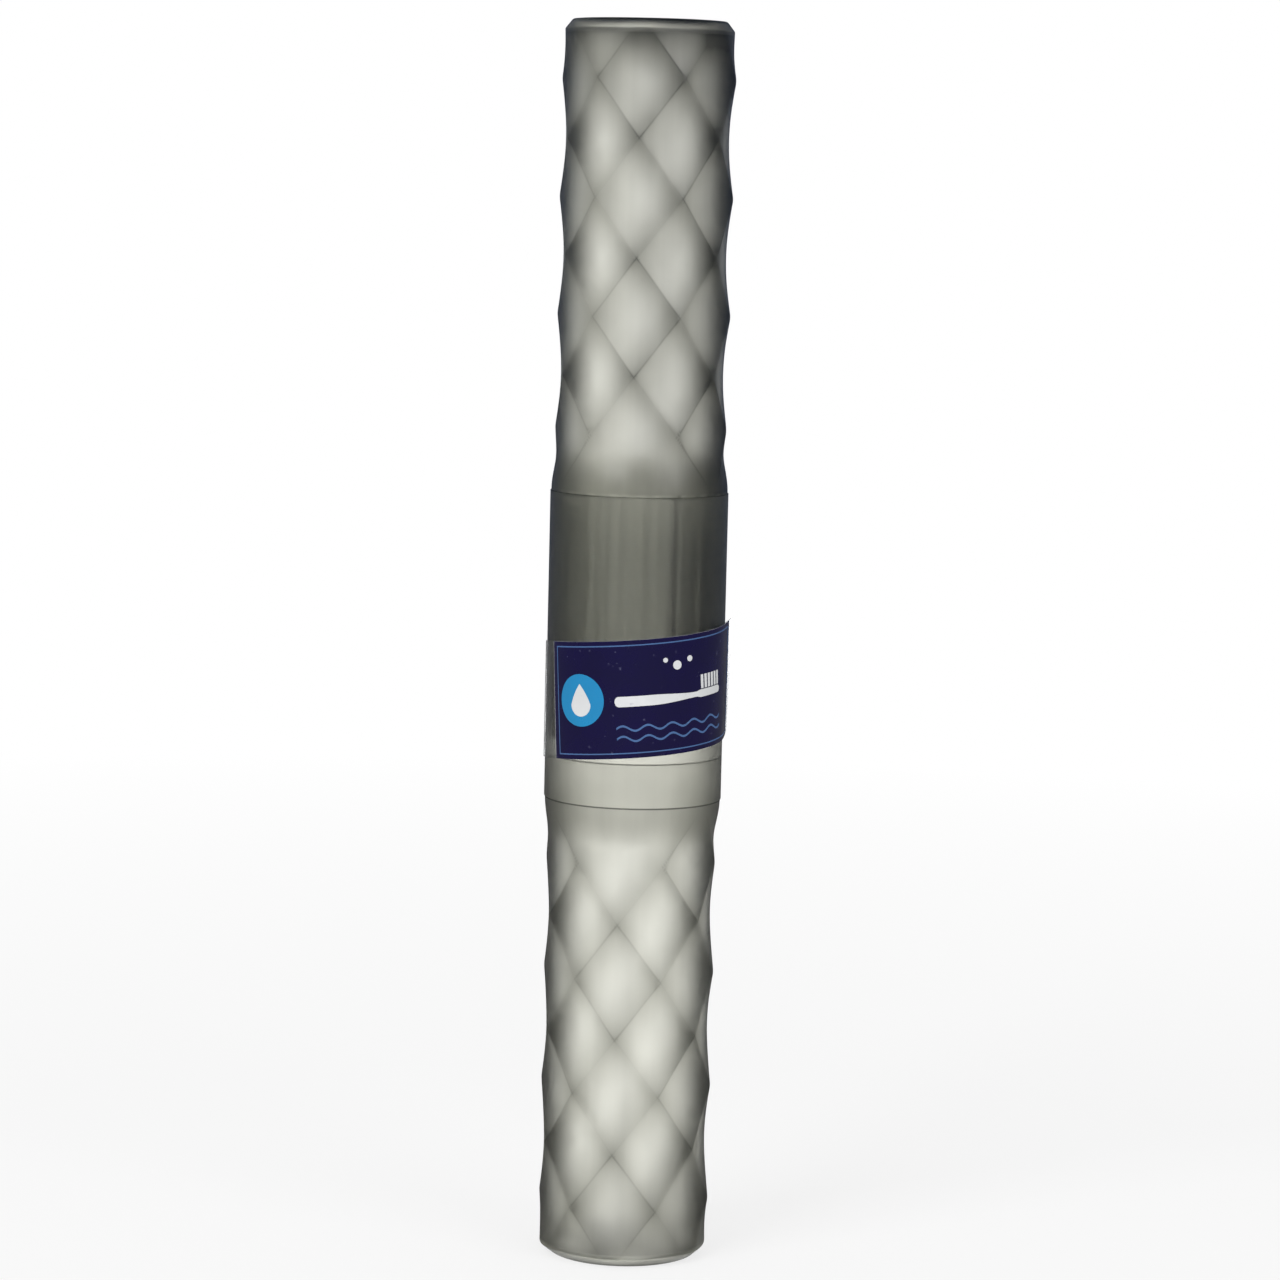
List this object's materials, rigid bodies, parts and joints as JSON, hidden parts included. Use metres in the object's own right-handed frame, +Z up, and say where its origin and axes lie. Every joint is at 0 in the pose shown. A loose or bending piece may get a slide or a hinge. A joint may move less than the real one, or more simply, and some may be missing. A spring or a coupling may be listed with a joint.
{
  "type": "travel toothbrush holder",
  "caption": "Slim round travel case for a toothbrush: a quilted see-through tube whose upper half has a long neck that pushes into the plain sleeve of the lower half.",
  "frame": {"origin": "middle of the flat closed end that the body stands on", "axes": "+Z up along the tube's axis, towards the cap; -Y is the front, where the label is"},
  "size_m": [0.0306, 0.0297, 0.2048],
  "materials": {
    "smoky_plastic": "see-through smoky grey moulding, slightly hazy",
    "printed_film": "glossy printed film, navy ground with a pale blue keyline"
  },
  "bodies": {
    "body": {"body_tube": "smoky_plastic", "label": "printed_film"},
    "cap": {"cap_tube": "smoky_plastic"}
  },
  "joints": [
    {"name": "cap_pull", "type": "slide", "parent": "body", "child": "cap", "axis": [0, 0, 1], "range_m": [0, 0.08]}
  ]
}
